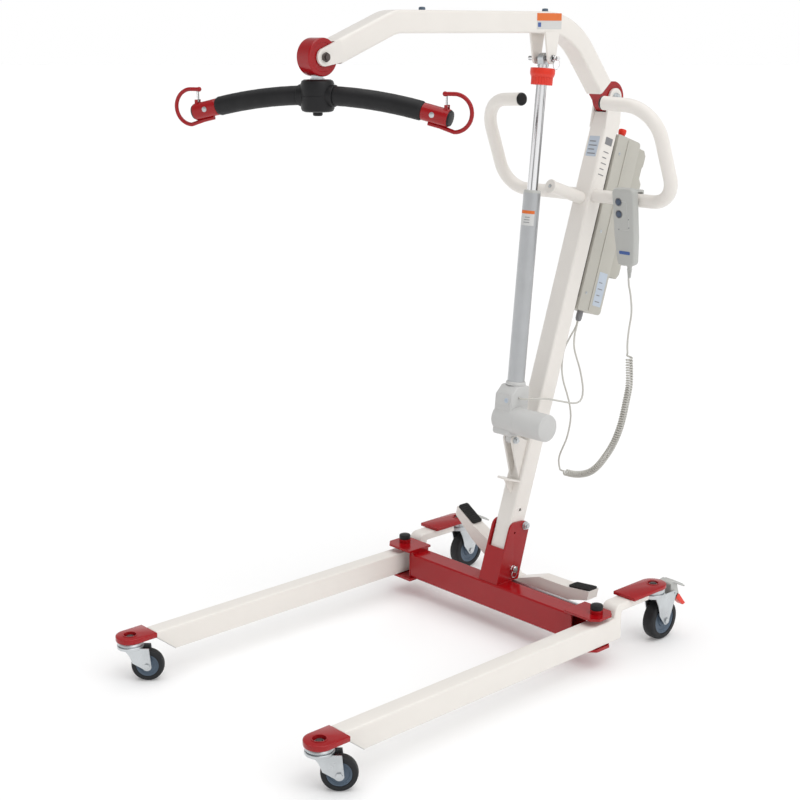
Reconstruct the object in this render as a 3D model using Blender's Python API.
"""Mobile patient lift: spreading base, folding mast, bent boom, electric actuator and sling spreader.

Metres, +Z up.  The origin is on the floor midway between the castors, the legs point to -Y,
and a name ending in _right lies at +X.
"""
import math

import bmesh
import bpy
from mathutils import Matrix, Vector

GAP = 0.0003

# Base
BEAM_HALF_LENGTH = 0.275
BEAM_BACK = 0.205
BEAM_FRONT = 0.151
BEAM_TOP = 0.116
BEAM_BOTTOM = 0.051
LEG_PIVOT = (0.325, 0.180)
LEG_X = (0.307, 0.349)
LEG_Z = (0.053, 0.108)
LEG_FRONT = -0.603
MITRE = ((-0.553, 0.053), (-0.603, 0.094))
LEG_REAR = 0.243
NECK_TOP = 0.140
NECK_FRONT = 0.218
PIN_HOLE = 0.0063
SIDES = (("right", 1), ("left", -1))

# Castors
FRONT_SWIVEL = (0.335, -0.655)
REAR_SWIVEL = (0.330, 0.381)
FRONT_TRAIL_ANGLE = 47.4
REAR_TRAIL_ANGLE = 90.0
FRONT_CASTOR = dict(radius=0.0375, width=0.024, trail=0.038, race_top=0.0957, race_bottom=0.078,
                    race_radius=0.030, stem_top=0.1035)
REAR_CASTOR = dict(radius=0.0500, width=0.032, trail=0.032, race_top=0.1397, race_bottom=0.117,
                   race_radius=0.030, stem_top=0.1470)
BRAKE_PIVOT = (0.062, 0.112)

# Leg spreader
PEDAL_PIVOT_Z = 0.092
PEDAL_TILT = 13.2
PEDAL_Y = (0.247, 0.283)
CRANK_RADIUS = 0.017
ROD_Y = 0.220
ROD_PIN_X = 0.297

# Mast
MAST_LEAN = math.degrees(math.atan(0.327))
MAST_FOOT_Y = 0.1233
MAST_SIZE = 0.050
MAST_BOTTOM = 0.158
MAST_TOP = 1.300
MAST_PIVOT = (0.254, 0.247)
BOOM_HINGE = (0.551, 1.270)
BAR_CENTRE = (0.484, 1.0375)
LOCK_PIN = (0.212, 0.145)
EAR_X = (0.0197, 0.025)

# Boom and spreader
BOOM_TIP = (-0.362, 1.376)
BOOM_START = (-0.325, 1.3845)
BOOM_FRONT_BEND = (-0.167, 1.4455)
BOOM_REAR_BEND = (0.388, 1.4455)
BOOM_END = (0.5153, 1.2945)
BOOM_WIDTH = 0.050
BOOM_DEPTH = 0.048
SPREADER_YAW = 23.7
SPREADER_CROWN_Z = 1.301
SPREADER_BEND = 0.231
SPREADER_END = 0.290
SLEEVE_END = 0.2865
HOOK_CENTRE = (0.297, 1.272)
HOOK_RADIUS = 0.0365
BAR_RADIUS = 0.0125

# Actuator
ACTUATOR_LOW = (0.2295, 0.466)
ACTUATOR_HIGH = (0.3155, 1.365)

# Electrics, in the mast's own frame: x, depth behind its front face, distance along it
BOX_DEPTH = (0.0568, 0.146)
BOX_ALONG = (0.822, 1.262)
PLUG_POINT = (0.008, 0.090)
GLAND_POINT = (-0.010, 0.110)
BUTTONS = (("button_up", -0.032), ("button_down", -0.061))
BUTTON_X = -0.012
CORD_RADIUS = 0.0025
COIL_RADIUS = 0.007

HANDSET_LEAD_ROUTE = [(0.150, 0.470, 0.8517), (0.152, 0.470, 0.835), (0.159, 0.470, 0.808),
                      (0.163, 0.470, 0.768), (0.157, 0.470, 0.725), (0.1545, 0.470, 0.690),
                      (0.1565, 0.470, 0.6643)]
HANDSET_COIL_ROUTE = [(0.1615, 0.470, 0.6635), (0.165, 0.470, 0.596), (0.158, 0.470, 0.551),
                      (0.144, 0.470, 0.487), (0.124, 0.470, 0.436), (0.097, 0.470, 0.392),
                      (0.069, 0.470, 0.358), (0.040, 0.470, 0.338), (0.002, 0.470, 0.3265),
                      (-0.036, 0.470, 0.3245)]
HANDSET_TAIL_ROUTE = [(-0.0370, 0.470, 0.326), (-0.0485, 0.470, 0.328), (-0.0525, 0.470, 0.361),
                      (-0.029, 0.470, 0.416), (-0.018, 0.470, 0.467), (-0.021, 0.470, 0.500),
                      (-0.032, 0.470, 0.532), (-0.046, 0.470, 0.564), (-0.052, 0.470, 0.600),
                      (-0.046, 0.470, 0.645), (-0.028, 0.470, 0.680), (-0.0125, 0.4705, 0.705),
                      (-0.010, 0.4723, 0.7132), (-0.010, 0.4763, 0.7256)]
MOTOR_CABLE_ROUTE = [(0.0276, 0.225, 0.5745), (0.041, 0.225, 0.5745), (0.050, 0.247, 0.573),
                     (0.048, 0.299, 0.564), (0.045, 0.3545, 0.548), (0.045, 0.405, 0.534),
                     (0.043, 0.435, 0.536), (0.038, 0.448, 0.562), (0.030, 0.444, 0.610),
                     (0.019, 0.434, 0.660), (0.011, 0.441, 0.691), (0.008, 0.4515, 0.7144),
                     (0.008, 0.4560, 0.7282)]

MATERIALS = {
    "white_paint": ((0.86, 0.84, 0.80), 0.35, 0.0),
    "red_paint": ((0.42, 0.02, 0.03), 0.35, 0.0),
    "zinc": ((0.72, 0.73, 0.74), 0.35, 0.9),
    "chrome": ((0.80, 0.80, 0.82), 0.12, 1.0),
    "aluminium": ((0.62, 0.63, 0.65), 0.35, 0.9),
    "black_plastic": ((0.02, 0.02, 0.02), 0.45, 0.0),
    "black_rubber": ((0.025, 0.025, 0.025), 0.75, 0.0),
    "black_foam": ((0.03, 0.03, 0.032), 0.85, 0.0),
    "tyre": ((0.04, 0.04, 0.045), 0.7, 0.0),
    "grey_plastic": ((0.50, 0.50, 0.48), 0.5, 0.0),
    "beige_plastic": ((0.62, 0.60, 0.55), 0.5, 0.0),
    "battery_plastic": ((0.50, 0.49, 0.46), 0.5, 0.0),
    "red_plastic": ((0.75, 0.04, 0.02), 0.4, 0.0),
    "button_plastic": ((0.15, 0.25, 0.45), 0.5, 0.0),
    "cord_grey": ((0.55, 0.54, 0.52), 0.55, 0.0),
}


# ---------- Frames ----------

def mast_frame():
    """X is world X, Y is depth behind the mast's front face, Z runs up along the mast."""
    return Matrix.Translation((0, MAST_FOOT_Y, 0)) @ Matrix.Rotation(math.radians(-MAST_LEAN), 4, "X")


def actuator_frame():
    """Origin on the lower pin, Z along the rod."""
    lean = math.atan2(ACTUATOR_HIGH[0] - ACTUATOR_LOW[0], ACTUATOR_HIGH[1] - ACTUATOR_LOW[1])
    origin = Matrix.Translation((0, *ACTUATOR_LOW))
    return origin @ Matrix.Rotation(-lean, 4, "X")


def spreader_frame():
    """Origin under the boom's tip on the floor, X along the bar, Z up."""
    return Matrix.Translation((0, BOOM_TIP[0], 0)) @ Matrix.Rotation(math.radians(SPREADER_YAW), 4, "Z")


def handset_frame():
    """Origin at the top of the front face, Y into the handset."""
    return Matrix.Translation((0.143, 0.441, 1.066)) @ Matrix.Rotation(math.radians(7), 4, "X")


def castor_frame(swivel, side, angle):
    """Origin on the floor under the swivel, X along the trail."""
    spot = Matrix.Translation((side * swivel[0], swivel[1], 0))
    return spot @ Matrix.Rotation(math.radians(angle), 4, "Z")


# ---------- Outlines ----------

def arc(centre, radius, start, end, steps=8):
    """Points on an arc of a circle, with its angles in degrees."""
    angles = [math.radians(start + (end - start) * k / steps) for k in range(steps + 1)]
    return [(centre[0] + radius * math.cos(a), centre[1] + radius * math.sin(a)) for a in angles]


def rounded(points, radii, steps=3, closed=True):
    """The points as vectors, with each corner of a radius above zero turned into an arc."""
    points = [Vector(p) for p in points]
    count = len(points)
    if isinstance(radii, (int, float)):
        radii = [radii] * count
    result = []
    for k, (corner, radius) in enumerate(zip(points, radii)):
        at_end = not closed and k in (0, count - 1)
        if radius <= 0 or at_end:
            result.append(corner)
            continue
        back = (points[k - 1] - corner).normalized()
        ahead = (points[(k + 1) % count] - corner).normalized()
        half = back.angle(ahead) / 2
        reach = radius / math.tan(half)
        centre = corner + (back + ahead).normalized() * (radius / math.sin(half))
        first = corner + back * reach - centre
        last = corner + ahead * reach - centre
        sweep = first.angle(last)
        for step in range(steps + 1):
            t = step / steps
            mixed = first * math.sin((1 - t) * sweep) + last * math.sin(t * sweep)
            result.append(centre + mixed / math.sin(sweep))
    return result


def rectangle(width, depth, radius, steps=1):
    """A rounded rectangle about the origin, as section points."""
    x, y = width / 2, depth / 2
    return rounded([(x, -y), (x, y), (-x, y), (-x, -y)], radius, steps)


def circle(radius, sides):
    return arc((0, 0), radius, 0, 360 * (sides - 1) / sides, sides - 1)


def smooth(points, spacing):
    """Evenly spaced points on a Catmull-Rom curve through the given ones."""
    points = [Vector(p) for p in points]
    knots = [points[0] * 2 - points[1]] + points + [points[-1] * 2 - points[-2]]
    fine = []
    for a, b, c, d in zip(knots, knots[1:], knots[2:], knots[3:]):
        for k in range(40):
            t = k / 40
            part = 2 * b + (c - a) * t + (2 * a - 5 * b + 4 * c - d) * t * t
            fine.append((part + (3 * b - a - 3 * c + d) * t ** 3) / 2)
    fine.append(points[-1])
    length = sum((q - p).length for p, q in zip(fine, fine[1:]))
    count = max(2, round(length / spacing))
    result = [fine[0]]
    travelled = 0.0
    for p, q in zip(fine, fine[1:]):
        travelled += (q - p).length
        if travelled >= length * len(result) / count and len(result) < count:
            result.append(q)
    return result + [fine[-1]]


# ---------- Solids ----------

def as_object(shape, frame=None):
    """Turns a bmesh into an object with outward faces, moved by the frame."""
    bmesh.ops.recalc_face_normals(shape, faces=shape.faces)
    mesh = bpy.data.meshes.new("shape")
    shape.to_mesh(mesh)
    shape.free()
    if frame is not None:
        mesh.transform(frame)
    made = bpy.data.objects.new("shape", mesh)
    bpy.context.scene.collection.objects.link(made)
    return made


def box(low, high, frame=None):
    shape = bmesh.new()
    bmesh.ops.create_cube(shape, size=1)
    for vert in shape.verts:
        vert.co = Vector([low[k] if vert.co[k] < 0 else high[k] for k in range(3)])
    return as_object(shape, frame)


def prism(outline, plane, low, high, frame=None):
    """An outline in plane XY, YZ or XZ, extruded along the third axis."""
    order = {"XY": (0, 1, 2), "YZ": (1, 2, 0), "XZ": (0, 2, 1)}[plane]
    shape = bmesh.new()
    ends = []
    for level in (low, high):
        ring = []
        for point in outline:
            place = [0.0, 0.0, 0.0]
            for axis, value in zip(order, (point[0], point[1], level)):
                place[axis] = value
            ring.append(shape.verts.new(place))
        ends.append(ring)
    shape.faces.new(ends[0])
    shape.faces.new(ends[1])
    join_rings(shape, ends[0], ends[1])
    return as_object(shape, frame)


def join_rings(shape, first, second):
    count = len(first)
    for k in range(count):
        corners = [first[k], first[(k + 1) % count], second[(k + 1) % count], second[k]]
        unique = list(dict.fromkeys(corners))
        if len(unique) > 2:
            shape.faces.new(unique)


def turned(profile, origin=(0, 0, 0), axis=(0, 0, 1), sides=16, frame=None):
    """A profile of (radius, height) pairs turned about the axis; without zero radii it closes on itself."""
    shape = bmesh.new()
    basis = Vector((0, 0, 1)).rotation_difference(Vector(axis)).to_matrix()
    rings = []
    for radius, height in profile:
        if radius == 0:
            tip = shape.verts.new(Vector(origin) + basis @ Vector((0, 0, height)))
            rings.append([tip] * sides)
            continue
        ring = [basis @ Vector((x, y, height)) for x, y in circle(radius, sides)]
        rings.append([shape.verts.new(Vector(origin) + point) for point in ring])
    for first, second in zip(rings, rings[1:]):
        join_rings(shape, first, second)
    if profile[0][0] > 0 and profile[-1][0] > 0:
        join_rings(shape, rings[-1], rings[0])
    return as_object(shape, frame)


def cylinder(start, end, radius, sides=12, frame=None):
    start, end = Vector(start), Vector(end)
    length = (end - start).length
    profile = [(0, 0), (radius, 0), (radius, length), (0, length)]
    return turned(profile, start, (end - start).normalized(), sides, frame)


def sweep(path, section, inner=None, side=(1, 0, 0), frame=None):
    """A section carried along a path; an inner section of as many points makes it a tube."""
    path = [Vector(p) for p in path]
    side = Vector(side)
    shape = bmesh.new()
    outer_rings, inner_rings = [], []
    for k, point in enumerate(path):
        ahead = path[min(k + 1, len(path) - 1)] - path[max(k - 1, 0)]
        tangent = ahead.normalized()
        side = (side - tangent * side.dot(tangent)).normalized()
        normal = tangent.cross(side)
        for rings, outline in ((outer_rings, section), (inner_rings, inner or [])):
            rings.append([shape.verts.new(point + side * u + normal * v) for u, v in outline])
    for first, second in zip(outer_rings, outer_rings[1:]):
        join_rings(shape, first, second)
    if inner is None:
        shape.faces.new(outer_rings[0])
        shape.faces.new(outer_rings[-1])
    else:
        for first, second in zip(inner_rings, inner_rings[1:]):
            join_rings(shape, first, second)
        join_rings(shape, outer_rings[0], inner_rings[0])
        join_rings(shape, outer_rings[-1], inner_rings[-1])
    return as_object(shape, frame)


def combine(base, others, operation):
    """Applies one exact Boolean after another to the base and removes the other solids."""
    for other in others:
        modifier = base.modifiers.new("combine", "BOOLEAN")
        modifier.operation = operation
        modifier.solver = "EXACT"
        modifier.object = other
    bpy.context.view_layer.update()
    evaluated = base.evaluated_get(bpy.context.evaluated_depsgraph_get())
    mesh = bpy.data.meshes.new_from_object(evaluated)
    base.modifiers.clear()
    base.data = mesh
    for other in others:
        bpy.data.objects.remove(other, do_unlink=True)
    return base


def union(base, *others):
    return combine(base, others, "UNION")


def cut(base, *others):
    return combine(base, others, "DIFFERENCE")


# ---------- Scene ----------

def material(name):
    found = bpy.data.materials.get(name)
    if found is not None:
        return found
    colour, roughness, metallic = MATERIALS[name]
    made = bpy.data.materials.new(name)
    made.use_nodes = True
    shader = made.node_tree.nodes["Principled BSDF"]
    shader.inputs["Base Color"].default_value = (*colour, 1)
    shader.inputs["Roughness"].default_value = roughness
    shader.inputs["Metallic"].default_value = metallic
    return made


def add_body(name, location, parent=None):
    """An empty on a body's joint axis, carried by the body before it."""
    empty = bpy.data.objects.new("body_" + name, None)
    empty.empty_display_size = 0.05
    bpy.context.scene.collection.objects.link(empty)
    place = Vector(location)
    if parent is not None:
        empty.parent = parent
        place = place - parent.matrix_world.translation
    empty.location = place
    bpy.context.view_layer.update()
    return empty


def finish(name, shape, material_name, body, smooth_angle=35):
    """Names a solid, gives it its material and hangs it on its body."""
    shape.name = name
    shape.data.name = name
    shape.data.materials.clear()
    shape.data.materials.append(material(material_name))
    shape.data.shade_smooth()
    shape.data.set_sharp_from_angle(angle=math.radians(smooth_angle))
    shape.parent = body
    shape.matrix_parent_inverse = Matrix.Translation(-body.matrix_world.translation)
    return shape


def cord(name, route, radius, spacing, body, resolution=2):
    """A round cord through a smooth curve, with filled ends."""
    curve = bpy.data.curves.new(name, "CURVE")
    curve.dimensions = "3D"
    curve.bevel_depth = radius
    curve.bevel_resolution = resolution
    curve.use_fill_caps = True
    points = smooth(route, spacing)
    spline = curve.splines.new("POLY")
    spline.points.add(len(points) - 1)
    for target, point in zip(spline.points, points):
        target.co = (*point, 1)
    curve.materials.append(material("cord_grey"))
    made = bpy.data.objects.new(name, curve)
    bpy.context.scene.collection.objects.link(made)
    made.parent = body
    made.matrix_parent_inverse = Matrix.Translation(-body.matrix_world.translation)


# ---------- Base ----------

def flange_outline(side, far, chamfer):
    """A flange seen from above, with its outer corners cut off."""
    near, front, back = 0.262, 0.139, 0.213
    points = [(near, front), (far - chamfer, front), (far, front + chamfer)]
    points += [(far, back - chamfer), (far - chamfer, back), (near, back)]
    return [(side * x, y) for x, y in points]


def make_crossbar(body):
    outer = rectangle(BEAM_BACK - BEAM_FRONT, BEAM_TOP - BEAM_BOTTOM, 0.003, 1)
    inner = rectangle(BEAM_BACK - BEAM_FRONT - 0.006, BEAM_TOP - BEAM_BOTTOM - 0.006, 0.001, 1)
    middle = ((BEAM_FRONT + BEAM_BACK) / 2, (BEAM_TOP + BEAM_BOTTOM) / 2)
    path = [(-BEAM_HALF_LENGTH, *middle), (BEAM_HALF_LENGTH, *middle)]
    beam = sweep(path, outer, inner, side=(0, 1, 0))
    holes = []
    for _, side in SIDES:
        top = prism(flange_outline(side, 0.356, 0.016), "XY", 0.122, 0.128)
        bottom = prism(flange_outline(side, 0.352, 0.016), "XY", 0.045, BEAM_BOTTOM + 0.0005)
        ends = sorted((side * 0.262, side * BEAM_HALF_LENGTH))
        riser = box((ends[0], BEAM_FRONT, 0.1135), (ends[1], BEAM_BACK, 0.1245))
        beam = union(beam, top, bottom, riser)
        spot = (side * LEG_PIVOT[0], LEG_PIVOT[1])
        holes.append(cylinder((*spot, 0.03), (*spot, 0.14), PIN_HOLE))
    stub_profile = [(0, 0.2035), (0.0065, 0.2035), (0.0065, 0.2865), (0.0105, 0.2868)]
    stub_profile += [(0.0105, 0.290), (0, 0.290)]
    stub = turned(stub_profile, (0, 0, PEDAL_PIVOT_Z), (0, 1, 0))
    beam = cut(union(beam, stub), *holes)
    finish("crossbar", beam, "red_paint", body)


def make_mast_socket(body):
    foot = BEAM_TOP + GAP
    corners = [(0.1557, foot), (0.2037, 0.263), (0.274, 0.259), (0.233, foot)]
    outline = rounded(corners, [0, 0.020, 0.022, 0], 4)
    plates = [prism(outline, "YZ", *span) for span in ((0.0256, 0.0306), (-0.0306, -0.0256))]
    front = box((-0.030, -0.0053, 0.10), (0.030, -GAP, 0.209), mast_frame())
    socket = union(front, *plates)
    below = box((-0.1, 0, 0), (0.1, 0.4, foot))
    pivot = cylinder((-0.05, *MAST_PIVOT), (0.05, *MAST_PIVOT), 0.0053)
    lock = cylinder((0, *LOCK_PIN), (0.05, *LOCK_PIN), 0.0048)
    spare = cylinder((0, 0.217, 0.236), (0.05, 0.217, 0.236), 0.003, 12)
    finish("mast_socket", cut(socket, below, pivot, lock, spare), "red_paint", body)


def make_leg_pivot_bolt(name, side, body):
    cap = [(0, 0.036), (0.010, 0.036), (0.010, 0.0447), (0.006, 0.0447), (0.006, 0.1283)]
    cap += [(0.0145, 0.1283), (0.0145, 0.146), (0.012, 0.149), (0, 0.149)]
    bolt = turned(cap, (side * LEG_PIVOT[0], LEG_PIVOT[1], 0), sides=14)
    finish(name, bolt, "black_plastic", body)


def cross_bolt(centre, inside, shank, head, thickness):
    """A bolt along X whose head and nut stand just outside plates at -inside and +inside."""
    start = inside + GAP
    profile = [(0, -start - thickness), (head, -start - thickness), (head, -start), (shank, -start)]
    profile += [(shank, start), (head, start), (head, start + thickness), (0, start + thickness)]
    return turned(profile, (0, *centre), (1, 0, 0), 12)


def make_mast_pivot_bolt(body):
    finish("mast_pivot_bolt", cross_bolt(MAST_PIVOT, 0.0306, 0.005, 0.010, 0.006), "zinc", body)


def make_lock_pin(body):
    profile = [(0, 0.0253), (0.0045, 0.0253), (0.0045, 0.0309), (0.0085, 0.0309), (0.0085, 0.040)]
    profile += [(0.007, 0.042), (0, 0.042)]
    pin = turned(profile, (0, *LOCK_PIN), (1, 0, 0), 16)
    middle = (LOCK_PIN[0], LOCK_PIN[1] - 0.0135)
    hoop = [(0.036, *point) for point in arc(middle, 0.0085, 90, 90 + 340, 10)]
    ring = sweep(hoop, circle(0.0011, 5))
    finish("mast_lock_pin", union(pin, ring), "zinc", body)


# ---------- Legs ----------

def make_leg(name, side, body):
    x_span = sorted((side * LEG_X[0], side * LEG_X[1]))
    low, high = LEG_Z
    corners = [(LEG_FRONT, high), (NECK_FRONT, high), (NECK_FRONT, NECK_TOP), (0.345, NECK_TOP), (0.345, 0.121)]
    corners += [(LEG_REAR, 0.121), (LEG_REAR, low), *MITRE]
    outline = rounded(corners, [0, 0, 0.022, 0, 0, 0.006, 0, 0, 0], 4)
    leg = prism(outline, "YZ", *x_span)
    wall = 0.0025
    hollow = [(LEG_FRONT + wall, high - wall), (LEG_REAR - wall, high - wall), (LEG_REAR - wall, low + wall)]
    hollow += [(MITRE[0][0] + 0.002, low + wall), (LEG_FRONT + wall, MITRE[1][1] + 0.0015)]
    inside = prism(hollow, "YZ", x_span[0] + wall, x_span[1] - wall)
    drain = cylinder((side * 0.328, 0.20, 0.03), (side * 0.328, 0.20, 0.07), 0.004, 12)
    spot = (side * LEG_PIVOT[0], LEG_PIVOT[1])
    boss = cylinder((*spot, 0.0518), (*spot, 0.1217), 0.0115)
    height = 0.1045 if side > 0 else 0.0705
    tab_x = sorted((side * 0.2895, side * 0.3095))
    tab = box((tab_x[0], 0.2125, height - 0.006), (tab_x[1], 0.229, height))
    pin_x = side * ROD_PIN_X
    pin = cylinder((pin_x, ROD_Y, height - 0.003), (pin_x, ROD_Y, height + 0.009), 0.0035, 12)
    hole = cylinder((*spot, 0.02), (*spot, 0.16), PIN_HOLE)
    shell = cut(leg, inside, drain)
    finish(name, cut(union(shell, boss, tab, pin), hole), "white_paint", body)


def make_plate(name, side, body, swivel, z_span, half_width, back, hole_radius, direction):
    """A castor plate: straight where it meets the leg, round about the swivel."""
    x, y = side * swivel[0], swivel[1]
    turn = 90 if direction > 0 else -90
    outline = [(x - half_width * direction, back), (x + half_width * direction, back)]
    outline += arc((x, y), half_width, turn - 90, turn + 90, 10)
    plate = prism(outline, "XY", *z_span)
    hole = cylinder((x, y, z_span[0] - 0.01), (x, y, z_span[1] + 0.01), hole_radius, 18)
    finish(name, cut(plate, hole), "red_paint", body)


# ---------- Castors ----------

def make_fork(name, size, frame, body, brake):
    ring = size["race_radius"]
    top, bottom = size["race_top"], size["race_bottom"]
    middle = (top + bottom) / 2
    profile = [(0, bottom), (ring, bottom), (ring, middle - 0.001)]
    profile += [(ring - 0.003, middle), (ring, middle + 0.001), (ring - 0.004, top), (0.0095, top)]
    profile += [(0.0095, size["stem_top"]), (0, size["stem_top"])]
    fork = turned(profile, sides=14)
    inner = size["width"] / 2 + 0.0025
    outer = inner + 0.0025
    trail, height = size["trail"], size["radius"]
    crown = bottom + 0.003
    axle = (trail, height)
    cheek = [(-0.006, crown), (-0.008, crown - 0.006)]
    cheek += arc(axle, 0.0105, 200, 335, 5)
    back = 0.040 if brake else trail + 0.006
    if brake:
        cheek += arc(BRAKE_PIVOT, 0.007, -60, 90, 5)
    cheek += [(back, crown)]
    cheeks = [prism(cheek, "XZ", *span) for span in ((inner, outer), (-outer, -inner))]
    bridge = box((-0.006, -outer, crown - 0.0035), (0.026, outer, crown))
    head = outer + 0.003
    pin_profile = [(0, -head), (0.0065, -head), (0.0065, -outer + 0.0003), (0.004, -outer + 0.0003)]
    pin_profile += [(0.004, outer - 0.0003), (0.0065, outer - 0.0003), (0.0065, head), (0, head)]
    pin = turned(pin_profile, (trail, 0, height), (0, 1, 0), 12)
    fork = union(fork, bridge, *cheeks, pin)
    if brake:
        pivot = (BRAKE_PIVOT[0], BRAKE_PIVOT[1])
        fork = cut(fork, cylinder((pivot[0], -0.1, pivot[1]), (pivot[0], 0.1, pivot[1]), 0.003, 12))
    fork.data.transform(frame)
    finish(name, fork, "zinc", body)


def make_wheel(name, size, frame, body):
    """Hub and tyre about the axle, with a bore that runs on it."""
    radius, half = size["radius"], size["width"] / 2
    rim = radius * 0.70
    side = [(0.0044, half + 0.001), (0.010, half + 0.001), (0.0125, half * 0.72), (rim, half * 0.72)]
    side += [(rim, half), (radius, half * 0.62)]
    profile = side + [(r, -h) for r, h in reversed(side)]
    wheel = turned(profile, (size["trail"], 0, radius), (0, 1, 0), 22)
    wheel.data.transform(frame)
    finish(name, wheel, "tyre", body)


def make_brake(name, frame, body):
    """Foot pedal, arm and shoe on a pin between the rear fork's ears, with the release tab behind."""
    plate = [(0.043, 0.1365), (0.046, 0.1415), (0.060, 0.144)]
    plate += [(0.106, 0.120), (0.104, 0.1165), (0.060, 0.139)]
    pedal = prism(plate, "XZ", -0.0165, 0.0165)
    arm = [(0.0555, 0.112), (0.0555, 0.140), (0.078, 0.133), (0.088, 0.104), (0.074, 0.088)]
    arm += [(0.066, 0.0902), (0.0625, 0.1055)]
    lever = prism(arm, "XZ", -0.0120, 0.0120)
    tab_outline = [(0.078, 0.106), (0.096, 0.098), (0.122, 0.067), (0.112, 0.065), (0.078, 0.094)]
    tab = prism(tab_outline, "XZ", -0.009, 0.009)
    pivot_x, pivot_z = BRAKE_PIVOT
    hub = cylinder((pivot_x, -0.0180, pivot_z), (pivot_x, 0.0180, pivot_z), 0.0065)
    brake = union(lever, pedal, tab, hub)
    pin = cylinder((pivot_x, -0.0230, pivot_z), (pivot_x, 0.0230, pivot_z), 0.0027, 12)
    brake = union(brake, pin)
    brake.data.transform(frame)
    finish(name, brake, "grey_plastic", body)


# ---------- Leg spreader ----------

def rocker_line(side, lift=0.0):
    """Half of the rocker's upper edge in its level position, from the pivot outwards."""
    points = [(0.0, 0.010), (0.076, 0.057), (0.165, 0.078), (0.228, 0.100)]
    return [(side * x, z + lift) for x, z in points]


def rocker_sill(side):
    """Half of the lower edge of its side walls, which grow deeper towards the pivot."""
    points = [(0.0, -0.018), (0.076, 0.010), (0.160, 0.040), (0.2285, 0.076)]
    return [(side * x, z) for x, z in points]


def make_pedal(body):
    tilt = Matrix.Translation((0, 0, PEDAL_PIVOT_Z)) @ Matrix.Rotation(math.radians(PEDAL_TILT), 4, "Y")
    front, back = PEDAL_Y
    upper = rocker_line(-1)[::-1] + rocker_line(1)[1:]
    lower = rocker_sill(-1)[::-1] + rocker_sill(1)[1:]
    rocker = prism(upper + lower[::-1], "XZ", front, back, tilt)
    inner = [(x * 0.985, z - 0.003) for x, z in upper]
    below = [(x * 0.985, z - 0.060) for x, z in upper]
    hollow = prism(inner + below[::-1], "XZ", front + 0.003, back - 0.003, tilt)
    boss = cylinder((0, 0.2262, PEDAL_PIVOT_Z), (0, 0.2860, PEDAL_PIVOT_Z), 0.0135, 16)
    crank = cylinder((0, 0.2245, PEDAL_PIVOT_Z), (0, 0.2285, PEDAL_PIVOT_Z), 0.023, 18)
    pins = []
    for side in (1, -1):
        z = PEDAL_PIVOT_Z + side * CRANK_RADIUS
        pins.append(cylinder((0, 0.2155, z), (0, 0.2272, z), 0.0035))
    bore = cylinder((0, 0.20, PEDAL_PIVOT_Z), (0, 0.31, PEDAL_PIVOT_Z), 0.0068, 16)
    rocker = union(cut(rocker, hollow), boss, crank, *pins)
    finish("spreader_pedal", cut(rocker, bore), "white_paint", body)


def make_pedal_pad(name, side, body):
    tilt = Matrix.Translation((0, 0, PEDAL_PIVOT_Z)) @ Matrix.Rotation(math.radians(PEDAL_TILT), 4, "Y")
    line = rocker_line(side, GAP)
    inner, outer = Vector(line[2]), Vector(line[3])
    along = (outer - inner).normalized()
    first = inner + along * 0.0005
    last = outer - along * 0.001
    up = Vector((-along.y, along.x)) * side * 0.006
    outline = [first, last, last + up, first + up]
    pad = prism(outline, "XZ", PEDAL_Y[0] + 0.0015, PEDAL_Y[1] - 0.0015, tilt)
    finish(name, pad, "black_rubber", body)


def make_tie_rod(name, side, body):
    """A rod with a round eye on the crank's pin and a slotted eye on the leg's pin."""
    z = PEDAL_PIVOT_Z + side * CRANK_RADIUS
    rod = cylinder((side * 0.007, ROD_Y, z), (side * (ROD_PIN_X - 0.006), ROD_Y, z), 0.004, 8)
    eye = cylinder((0, ROD_Y - 0.0025, z), (0, ROD_Y + 0.0025, z), 0.0095, 14)
    hole = cylinder((0, ROD_Y - 0.01, z), (0, ROD_Y + 0.01, z), 0.0064, 12)
    x = side * ROD_PIN_X
    near, far = ROD_Y, ROD_Y - 0.0067
    shape = [((x, near), 0.0072), ((x, far), 0.0072)]
    slot_shape = [((x, near), 0.0039), ((x, far), 0.0039)]
    link = prism(capsule(shape), "XY", z - 0.0025, z + 0.0025)
    slot = prism(capsule(slot_shape), "XY", z - 0.01, z + 0.01)
    finish(name, cut(union(rod, eye, link), hole, slot), "zinc", body)


def capsule(ends):
    """A straight slot outline between two centres, the first at higher Y."""
    (high, radius), (low, _) = ends
    return arc(high, radius, 0, 180, 6) + arc(low, radius, 180, 360, 6)


# ---------- Mast ----------

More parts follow.
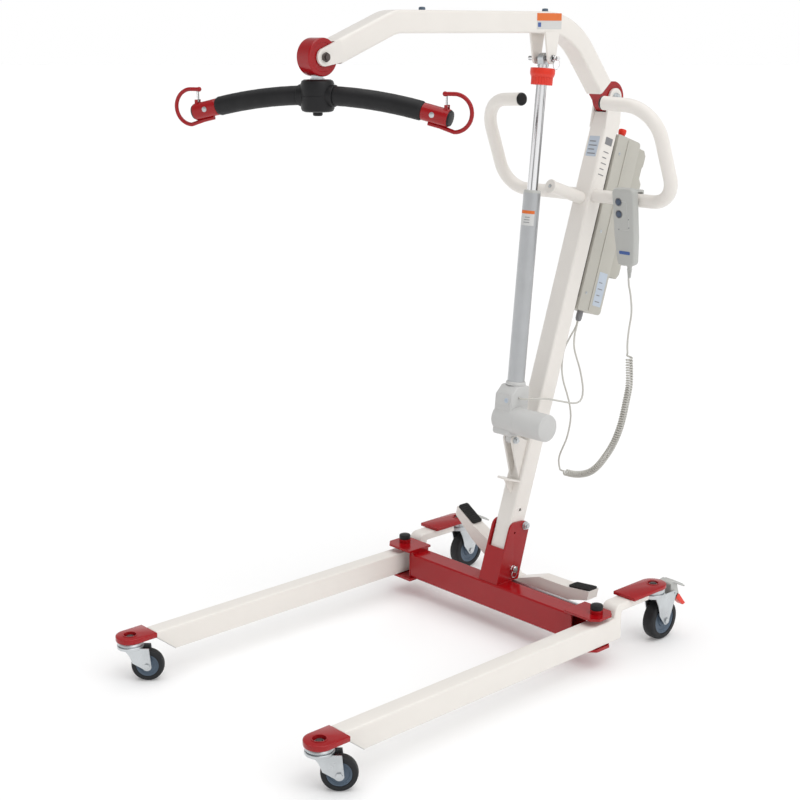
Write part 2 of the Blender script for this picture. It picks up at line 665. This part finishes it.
def make_mast_tube(body):
    frame = mast_frame()
    half = MAST_SIZE / 2
    outer = rectangle(MAST_SIZE, MAST_SIZE, 0.005)
    inner = rectangle(MAST_SIZE - 0.005, MAST_SIZE - 0.005, 0.0025)
    tube = sweep([(0, half, MAST_BOTTOM), (0, half, MAST_TOP)], outer, inner, frame=frame)
    slant = [(-0.01, 0.10), (0.060, 0.10), (0.050, MAST_BOTTOM), (-0.01, 0.180)]
    relief = prism(slant, "YZ", -0.1, 0.1, frame)
    tube = cut(tube, relief)
    ear = [(0.0, 1.262)] + arc((0.012, 1.340), 0.022, 180, 0, 8) + [(0.050, 1.290), (0.050, 1.262)]
    ears = [prism(ear, "YZ", *span, frame) for span in (EAR_X, (-EAR_X[1], -EAR_X[0]))]
    boss = cylinder((-0.0253, *MAST_PIVOT), (0.0253, *MAST_PIVOT), 0.011)
    low_pin = (-0.0439, 0.4759)
    lug_ear = [(0.001, 0.385)] + arc(low_pin, 0.012, 215, 75, 7) + [(0.001, 0.480)]
    lug_ears = [prism(lug_ear, "YZ", *span, frame) for span in ((0.010, 0.015), (-0.015, -0.010))]
    shelf_outline = rounded([(-0.022, 0.001), (-0.022, -0.045), (0.022, -0.045), (0.022, 0.001)],
                            [0, 0.016, 0.016, 0], 4)
    shelf = prism(shelf_outline, "XY", 0.3765, 0.3815, frame)
    gusset = prism([(0.001, 0.378), (-0.034, 0.378), (0.001, 0.343)], "YZ", -0.0025, 0.0025, frame)
    rest_profile = [(0, -0.002), (0.015, -0.002), (0.015, 0.112), (0.0162, 0.1125)]
    rest_profile += [(0.0162, 0.118), (0, 0.118)]
    rest = turned(rest_profile, (0, 0, 1.086), (0, -1, 0), 14, frame)
    tube = union(tube, boss, rest, shelf, gusset, *ears, *lug_ears)
    holes = [
        cylinder((-0.05, *MAST_PIVOT), (0.05, *MAST_PIVOT), 0.0053),
        cylinder((-0.05, *BOOM_HINGE), (0.05, *BOOM_HINGE), PIN_HOLE),
        cylinder((-0.05, *ACTUATOR_LOW), (0.05, *ACTUATOR_LOW), 0.0053),
        cylinder((-0.05, *BAR_CENTRE), (0.05, *BAR_CENTRE), 0.0164, 16),
        cylinder((-0.05, 0.241, 0.289), (0.05, 0.241, 0.289), 0.004, 12),
    ]
    finish("mast_tube", cut(tube, *holes), "white_paint", body)


def handlebar_path():
    right = [(0.129, 0.381, 1.266), (0.2655, 0.394, 1.260), (0.268, *BAR_CENTRE)]
    corners = right + [(-x, y, z) for x, y, z in reversed(right)]
    return rounded(corners, [0, 0.085, 0.065, 0.065, 0.085, 0], 4, closed=False)


def make_handlebar(body):
    path = handlebar_path()
    bar = sweep(path, circle(0.016, 9), circle(0.0135, 9), side=(0, 0, 1))
    finish("handlebar", bar, "white_paint", body)
    for (name, _), end, inward in zip(SIDES, (path[0], path[-1]), (path[1], path[-2])):
        outward = (end - inward).normalized()
        profile = [(0, GAP), (0.0163, GAP), (0.0163, 0.004), (0.013, 0.0068), (0, 0.008)]
        plug = turned(profile, end, outward, 12)
        finish("handle_plug_" + name, plug, "black_plastic", body)


def make_mast_bolts(body):
    finish("boom_hinge_bolt", cross_bolt(BOOM_HINGE, EAR_X[1], 0.006, 0.0105, 0.006), "zinc", body)
    finish("actuator_lower_pin", cross_bolt(ACTUATOR_LOW, 0.015, 0.005, 0.008, 0.004), "zinc", body)


# ---------- Actuator ----------

def make_actuator_housing(body):
    frame = actuator_frame()
    corners = [(-0.040, 0.014), (0.022, 0.014), (0.022, 0.135), (-0.020, 0.135), (-0.040, 0.112)]
    block = prism(rounded(corners, [0.008, 0.008, 0.006, 0.010, 0.010], 3), "YZ", -0.027, 0.027, frame)
    profile = [(0, -0.027), (0.031, -0.027), (0.033, -0.025), (0.033, 0.125), (0.031, 0.128), (0, 0.128)]
    motor = turned(profile, (0, -0.016, 0.0526), (1, 0, 0), 20, frame)
    tongue = [(-0.009, 0.020)] + arc((0, 0), 0.010, 180, 360, 8) + [(0.009, 0.020)]
    lug = prism(tongue, "YZ", -0.009, 0.009, frame)
    hole = cylinder((-0.05, *ACTUATOR_LOW), (0.05, *ACTUATOR_LOW), 0.0053)
    finish("actuator_housing", cut(union(block, motor, lug), hole), "grey_plastic", body)


def make_actuator_tube(body):
    path = [(0, 0, 0.135 + GAP), (0, 0, 0.594)]
    tube = sweep(path, circle(0.0205, 16), circle(0.015, 16), frame=actuator_frame())
    finish("actuator_outer_tube", tube, "aluminium", body, 15)


def make_actuator_rod(body):
    frame = actuator_frame()
    length = math.dist(ACTUATOR_LOW, ACTUATOR_HIGH)
    rod = cylinder((0, 0, 0.41), (0, 0, 0.889), 0.0125, 16, frame)
    neck = [(-0.0105, 0.884)] + arc((0, length), 0.0125, 212, -32, 10) + [(0.0105, 0.884)]
    eye = prism(neck, "YZ", -0.009, 0.009, frame)
    hole = cylinder((-0.05, *ACTUATOR_HIGH), (0.05, *ACTUATOR_HIGH), 0.0056)
    finish("actuator_rod", cut(union(rod, eye), hole), "chrome", body)


def make_release_collar(body):
    profile = [(0.0128, 0.8425), (0.025, 0.8425), (0.026, 0.860)]
    profile += [(0.029, 0.868), (0.029, 0.8805), (0.0128, 0.8805)]
    collar = turned(profile, sides=16, frame=actuator_frame())
    finish("release_collar", collar, "red_plastic", body)


def make_top_pin(body):
    """A quick pin's head and stub in the near ear; it stops short of the rod's eye."""
    profile = [(0, 0.0098), (0.005, 0.0098), (0.005, 0.0253), (0.0075, 0.0253), (0.0075, 0.031)]
    profile += [(0.005, 0.031), (0.005, 0.044), (0.0035, 0.0465), (0, 0.0465)]
    pin = turned(profile, (0, *ACTUATOR_HIGH), (1, 0, 0), 16)
    finish("actuator_top_pin", pin, "zinc", body)


# ---------- Boom ----------

def boom_path():
    corners = [(0, *p) for p in (BOOM_START, BOOM_FRONT_BEND, BOOM_REAR_BEND, BOOM_END)]
    return rounded(corners, [0, 0.09, 0.19, 0], 5, closed=False)


def make_boom_tube(body):
    outer = rectangle(BOOM_WIDTH, BOOM_DEPTH, 0.005)
    inner = rectangle(BOOM_WIDTH - 0.006, BOOM_DEPTH - 0.006, 0.002)
    boom = sweep(boom_path(), outer, inner)
    slope = (Vector(BOOM_FRONT_BEND) - Vector(BOOM_START)).normalized()
    across = Vector((-slope.y, slope.x))
    root = Vector(BOOM_START) + slope * 0.012
    tip_angle = math.degrees(math.atan2(slope.y, slope.x))
    fork = arc(BOOM_TIP, 0.018, tip_angle + 100, tip_angle + 260, 8)
    fork += [tuple(root - across * 0.023), tuple(root + across * 0.023)]
    tips = [prism(fork, "YZ", *span) for span in ((0.0203, 0.025), (-0.025, -0.0203))]
    hanger = [(-0.024, 0.060)] + arc((0, 0), 0.013, 180, 360, 8) + [(0.024, 0.060)]
    spot = Matrix.Translation((0, *ACTUATOR_HIGH))
    hangers = [prism(hanger, "YZ", *span, spot) for span in ((0.0203, 0.0248), (-0.0248, -0.0203))]
    pads = []
    for y in (-0.073, 0.316):
        pads.append(box((-0.012, y - 0.006, 1.4685), (0.012, y + 0.006, 1.4765)))
    holes = [
        cylinder((-0.05, *BOOM_TIP), (0.05, *BOOM_TIP), PIN_HOLE),
        cylinder((-0.05, *ACTUATOR_HIGH), (0.05, *ACTUATOR_HIGH), 0.0053),
    ]
    finish("boom_tube", cut(union(boom, *tips, *hangers, *pads), *holes), "white_paint", body)


def drum_profile(half_width):
    """A drum of the boom's ends, with its edges taken off."""
    edge = half_width - 0.002
    lower = [(0, -half_width), (0.036, -half_width), (0.038, -edge)]
    return lower + [(radius, -height) for radius, height in reversed(lower)]


def make_boom_drum(body):
    drum = turned(drum_profile(0.0192), (0, *BOOM_HINGE), (1, 0, 0), 20)
    end = Vector(BOOM_END)
    ahead = (end - Vector(BOOM_REAR_BEND)).normalized()
    across = Vector((-ahead.y, ahead.x)) * 0.0203
    start, stop = end - ahead * 0.040, end + ahead * 0.040
    tongue = prism([start - across, stop - across, stop + across, start + across], "YZ", -0.019, 0.019)
    hole = cylinder((-0.05, *BOOM_HINGE), (0.05, *BOOM_HINGE), PIN_HOLE)
    finish("boom_hinge_drum", cut(union(drum, tongue), hole), "red_paint", body)


def make_boom_tip_bolt(body):
    finish("boom_tip_bolt", cross_bolt(BOOM_TIP, EAR_X[1], 0.006, 0.0095, 0.005), "zinc", body)


def make_cradle_drum(body):
    drum = turned(drum_profile(0.0198), (0, *BOOM_TIP), (1, 0, 0), 20)
    stem_profile = [(0, 1.260), (0.010, 1.260), (0.010, 1.2675), (0.006, 1.2675), (0.006, 1.3323)]
    stem_profile += [(0.0125, 1.3323), (0.0125, 1.348), (0, 1.348)]
    stem = turned(stem_profile, (0, BOOM_TIP[0], 0), sides=16)
    hole = cylinder((-0.05, *BOOM_TIP), (0.05, *BOOM_TIP), PIN_HOLE)
    finish("cradle_drum", cut(union(drum, stem), hole), "red_paint", body)


# ---------- Spreader ----------

def spreader_height(s):
    """Height of the bar's centre line: a shallow arch, straight past its bends."""
    if abs(s) <= SPREADER_BEND:
        return SPREADER_CROWN_Z - s * s / 2
    return SPREADER_CROWN_Z - SPREADER_BEND ** 2 / 2 - (abs(s) - SPREADER_BEND) * SPREADER_BEND


def spreader_line(start, end, steps):
    stations = [start + (end - start) * k / steps for k in range(steps + 1)]
    return [(s, 0, spreader_height(s)) for s in stations]


def make_spreader_bar(body):
    frame = spreader_frame()
    line = spreader_line(-SPREADER_END, SPREADER_END, 15)
    bar = sweep(line, circle(BAR_RADIUS, 12), side=(0, 1, 0), frame=frame)
    hole = cylinder((0, BOOM_TIP[0], 1.2), (0, BOOM_TIP[0], 1.4), PIN_HOLE)
    finish("spreader_bar", cut(bar, hole), "zinc", body)


def make_hub_cover(body):
    profile = [(0, 1.268), (0.031, 1.268), (0.034, 1.273), (0.034, 1.326), (0.029, 1.332), (0, 1.332)]
    cover = turned(profile, (0, BOOM_TIP[0], 0), sides=16)
    line = spreader_line(-0.06, 0.06, 4)
    bore = sweep(line, circle(BAR_RADIUS + GAP, 12), side=(0, 1, 0), frame=spreader_frame())
    hole = cylinder((0, BOOM_TIP[0], 1.2), (0, BOOM_TIP[0], 1.4), PIN_HOLE)
    finish("hub_cover", cut(cover, bore, hole), "black_plastic", body)


def make_foam(name, side, body):
    line = spreader_line(side * 0.0360, side * SPREADER_BEND, 6)
    inner = circle(BAR_RADIUS + GAP, 12)
    foam = sweep(line, circle(0.0195, 12), inner, side=(0, 1, 0), frame=spreader_frame())
    finish(name, foam, "black_foam", body)


def make_hook(name, side, body):
    """A sleeve on the bar's end with its open D of round rod."""
    frame = spreader_frame()
    sleeve_line = spreader_line(side * 0.2315, side * SLEEVE_END, 1)
    sleeve = sweep(sleeve_line, circle(0.0175, 14), side=(0, 1, 0), frame=frame)
    corners = [(0.242, 1.2512), (0.266, 1.2456), (HOOK_CENTRE[0], HOOK_CENTRE[1] - HOOK_RADIUS)]
    loop = rounded(corners, [0, 0.03, 0], 3, closed=False)[:-1]
    loop += [Vector(p) for p in arc(HOOK_CENTRE, HOOK_RADIUS, -90, 90, 9)]
    loop.append(Vector((0.277, HOOK_CENTRE[1] + HOOK_RADIUS)))
    rod = sweep([(side * p.x, 0, p.y) for p in loop], circle(0.004, 6), side=(0, 1, 0), frame=frame)
    ears = []
    for y in (0.0048, -0.0066):
        x = sorted((side * 0.278, side * 0.285))
        ears.append(box((x[0], y, 1.276), (x[1], y + 0.0018, 1.2875), frame))
    bore_line = spreader_line(side * 0.20, side * 0.32, 4)
    bore = sweep(bore_line, circle(BAR_RADIUS + GAP, 12), side=(0, 1, 0), frame=frame)
    finish(name, cut(union(sleeve, rod, *ears), bore), "red_paint", body)


def make_latch(name, side, body):
    """The sprung gate that closes the hook, on a pivot above the sleeve."""
    outline = arc((0.2815, 1.2845), 0.0026, 180, 360, 6) + [(0.2825, 1.3038), (0.2785, 1.3038)]
    latch = prism([(side * x, z) for x, z in outline], "XZ", -0.0042, 0.0042, spreader_frame())
    finish(name, latch, "chrome", body)


# ---------- Electrics ----------

def make_control_box(body):
    frame = mast_frame()
    front, back = BOX_DEPTH
    low, high = BOX_ALONG
    corners = [(front, low), (back, low), (back, high), (front, high)]
    case = prism(rounded(corners, [0.004, 0.010, 0.010, 0.006], 3), "YZ", -0.027, 0.027, frame)
    rail = box((-0.018, 0.0503, low + 0.03), (0.018, front + 0.001, high - 0.03), frame)
    plug = turned([(0, 0.796), (0.006, 0.796), (0.008, 0.803), (0.008, low + 0.002), (0, low + 0.002)],
                  (*PLUG_POINT, 0), sides=12, frame=frame)
    gland = turned([(0, 0.800), (0.004, 0.800), (0.0065, 0.812), (0.0065, low + 0.002), (0, low + 0.002)],
                   (*GLAND_POINT, 0), sides=12, frame=frame)
    well = cylinder((0, 0.097, high - 0.010), (0, 0.097, high + 0.02), 0.0046, 12, frame)
    finish("control_box", cut(union(case, rail, plug, gland), well), "beige_plastic", body)


def make_battery(body):
    start = BOX_DEPTH[1] + GAP
    outline = [(start, 0.922), (0.178, 0.922), (0.187, 0.935), (0.187, 1.168), (0.176, 1.180), (0.176, 1.205)]
    outline += [(0.180, 1.212), (0.180, 1.238), (0.170, 1.250), (start, 1.250)]
    finish("battery", prism(outline, "YZ", -0.024, 0.024, mast_frame()), "battery_plastic", body)


def make_e_stop(body):
    top = BOX_ALONG[1]
    profile = [(0, top - 0.005), (0.0041, top - 0.005), (0.0041, top + 0.005), (0.0085, top + 0.006)]
    profile += [(0.0095, top + 0.012), (0.0095, top + 0.018), (0.007, top + 0.021), (0, top + 0.022)]
    knob = turned(profile, (0, 0.097, 0), sides=14, frame=mast_frame())
    finish("e_stop", knob, "red_plastic", body)


def make_handset(body):
    frame = handset_frame()
    corners = [(-0.032, 0), (0.032, 0), (0.032, -0.187), (-0.032, -0.187)]
    case = prism(rounded(corners, 0.012, 4), "XZ", 0, 0.022, frame)
    hook_shape = [(0.455, 1.056), (0.5015, 1.056), (0.5015, 1.030), (0.5055, 1.030)]
    hook_shape += [(0.5055, 1.0615), (0.455, 1.0615)]
    hook = prism(hook_shape, "YZ", 0.128, 0.158)
    relief = turned([(0, 0.852), (0.0035, 0.852), (0.0058, 0.874), (0.0058, 0.886), (0, 0.886)],
                    (0.150, 0.4725, 0), sides=10)
    wells = []
    for _, z in BUTTONS:
        wells.append(cylinder((BUTTON_X, -0.01, z), (BUTTON_X, 0.0050, z), 0.0079, 14, frame))
    finish("handset", cut(union(case, hook, relief), *wells), "grey_plastic", body)


def make_buttons(bodies):
    frame = handset_frame()
    for name, z in BUTTONS:
        profile = [(0, -0.0028), (0.0074, -0.0028), (0.0074, 0.0017), (0.0064, 0.0025), (0, 0.0025)]
        button = turned(profile, (BUTTON_X, 0, z), (0, -1, 0), 14, frame)
        finish(name, button, "button_plastic", bodies[name])


def make_cords(body):
    cord("handset_lead", HANDSET_LEAD_ROUTE, CORD_RADIUS, 0.015, body)
    cord("handset_coil", HANDSET_COIL_ROUTE, COIL_RADIUS, 0.036, body)
    cord("handset_tail", HANDSET_TAIL_ROUTE, CORD_RADIUS, 0.015, body)
    cord("motor_cable", MOTOR_CABLE_ROUTE, CORD_RADIUS, 0.015, body)


# ---------- Assembly ----------

def make_bodies():
    bodies = {"base": add_body("base", (0, 0, 0))}

    def carried(name, location, parent):
        bodies[name] = add_body(name, location, bodies[parent])

    carried("lock_pin", (0.0309, *LOCK_PIN), "base")
    carried("pedal", (0, PEDAL_Y[0], PEDAL_PIVOT_Z), "base")
    carried("mast", (0, *MAST_PIVOT), "base")
    for name, side in SIDES:
        carried("tie_rod_" + name, (0, ROD_Y, PEDAL_PIVOT_Z + side * CRANK_RADIUS), "base")
        carried("leg_" + name, (side * LEG_PIVOT[0], LEG_PIVOT[1], 0), "base")
        for end, swivel, angle, size in (("front", FRONT_SWIVEL, FRONT_TRAIL_ANGLE, FRONT_CASTOR),
                                         ("rear", REAR_SWIVEL, REAR_TRAIL_ANGLE, REAR_CASTOR)):
            place = end + "_" + name
            carried("fork_" + place, (side * swivel[0], swivel[1], 0), "leg_" + name)
            axle = castor_frame(swivel, side, angle) @ Vector((size["trail"], 0, size["radius"]))
            carried("wheel_" + place, axle, "fork_" + place)
        rear = castor_frame(REAR_SWIVEL, side, REAR_TRAIL_ANGLE)
        pivot = rear @ Vector((BRAKE_PIVOT[0], 0, BRAKE_PIVOT[1]))
        carried("brake_" + name, pivot, "fork_rear_" + name)
    carried("boom", (0, *BOOM_HINGE), "mast")
    carried("actuator", (0, *ACTUATOR_LOW), "mast")
    carried("rod", (0, *ACTUATOR_HIGH), "actuator")
    carried("collar", actuator_frame() @ Vector((0, 0, 0.860)), "rod")
    carried("cradle", (0, *BOOM_TIP), "boom")
    carried("spreader", (0, BOOM_TIP[0], SPREADER_CROWN_Z), "cradle")
    for name, side in SIDES:
        carried("latch_" + name, spreader_frame() @ Vector((side * 0.2815, 0, 1.2845)), "spreader")
    carried("e_stop", mast_frame() @ Vector((0, 0.097, BOX_ALONG[1])), "mast")
    for name, z in BUTTONS:
        carried(name, handset_frame() @ Vector((BUTTON_X, 0, z)), "mast")
    return bodies


def make_base(bodies):
    base = bodies["base"]
    make_crossbar(base)
    make_mast_socket(base)
    make_mast_pivot_bolt(base)
    make_lock_pin(bodies["lock_pin"])
    make_pedal(bodies["pedal"])
    for name, side in SIDES:
        leg = bodies["leg_" + name]
        make_leg_pivot_bolt("leg_pivot_bolt_" + name, side, base)
        make_leg("leg_" + name, side, leg)
        front_edge = LEG_FRONT - GAP
        make_plate("front_plate_" + name, side, leg, FRONT_SWIVEL, (0.096, 0.108), 0.0325, front_edge, 0.0155, -1)
        make_plate("rear_plate_" + name, side, leg, REAR_SWIVEL, (0.1403, 0.149), 0.032, 0.272, 0.014, 1)
        make_pedal_pad("pedal_pad_" + name, side, bodies["pedal"])
        make_tie_rod("tie_rod_" + name, side, bodies["tie_rod_" + name])


def make_castors(bodies):
    for name, side in SIDES:
        for end, swivel, angle, size in (("front", FRONT_SWIVEL, FRONT_TRAIL_ANGLE, FRONT_CASTOR),
                                         ("rear", REAR_SWIVEL, REAR_TRAIL_ANGLE, REAR_CASTOR)):
            place = end + "_" + name
            frame = castor_frame(swivel, side, angle)
            make_fork("castor_fork_" + place, size, frame, bodies["fork_" + place], end == "rear")
            make_wheel("wheel_" + place, size, frame, bodies["wheel_" + place])
        frame = castor_frame(REAR_SWIVEL, side, REAR_TRAIL_ANGLE)
        make_brake("brake_pedal_" + name, frame, bodies["brake_" + name])


def make_upper(bodies):
    make_mast_tube(bodies["mast"])
    make_handlebar(bodies["mast"])
    make_mast_bolts(bodies["mast"])
    make_actuator_housing(bodies["actuator"])
    make_actuator_tube(bodies["actuator"])
    make_actuator_rod(bodies["rod"])
    make_release_collar(bodies["collar"])
    make_top_pin(bodies["boom"])
    make_boom_tube(bodies["boom"])
    make_boom_drum(bodies["boom"])
    make_boom_tip_bolt(bodies["boom"])
    make_cradle_drum(bodies["cradle"])
    make_spreader_bar(bodies["spreader"])
    make_hub_cover(bodies["spreader"])
    for name, side in SIDES:
        make_foam("foam_" + name, side, bodies["spreader"])
        make_hook("sling_hook_" + name, side, bodies["spreader"])
        make_latch("hook_latch_" + name, side, bodies["latch_" + name])


def make_electrics(bodies):
    make_control_box(bodies["mast"])
    make_battery(bodies["mast"])
    make_e_stop(bodies["e_stop"])
    make_handset(bodies["mast"])
    make_buttons(bodies)
    make_cords(bodies["mast"])


def main():
    for old in list(bpy.data.objects):
        bpy.data.objects.remove(old, do_unlink=True)
    bodies = make_bodies()
    make_base(bodies)
    make_castors(bodies)
    make_upper(bodies)
    make_electrics(bodies)


main()
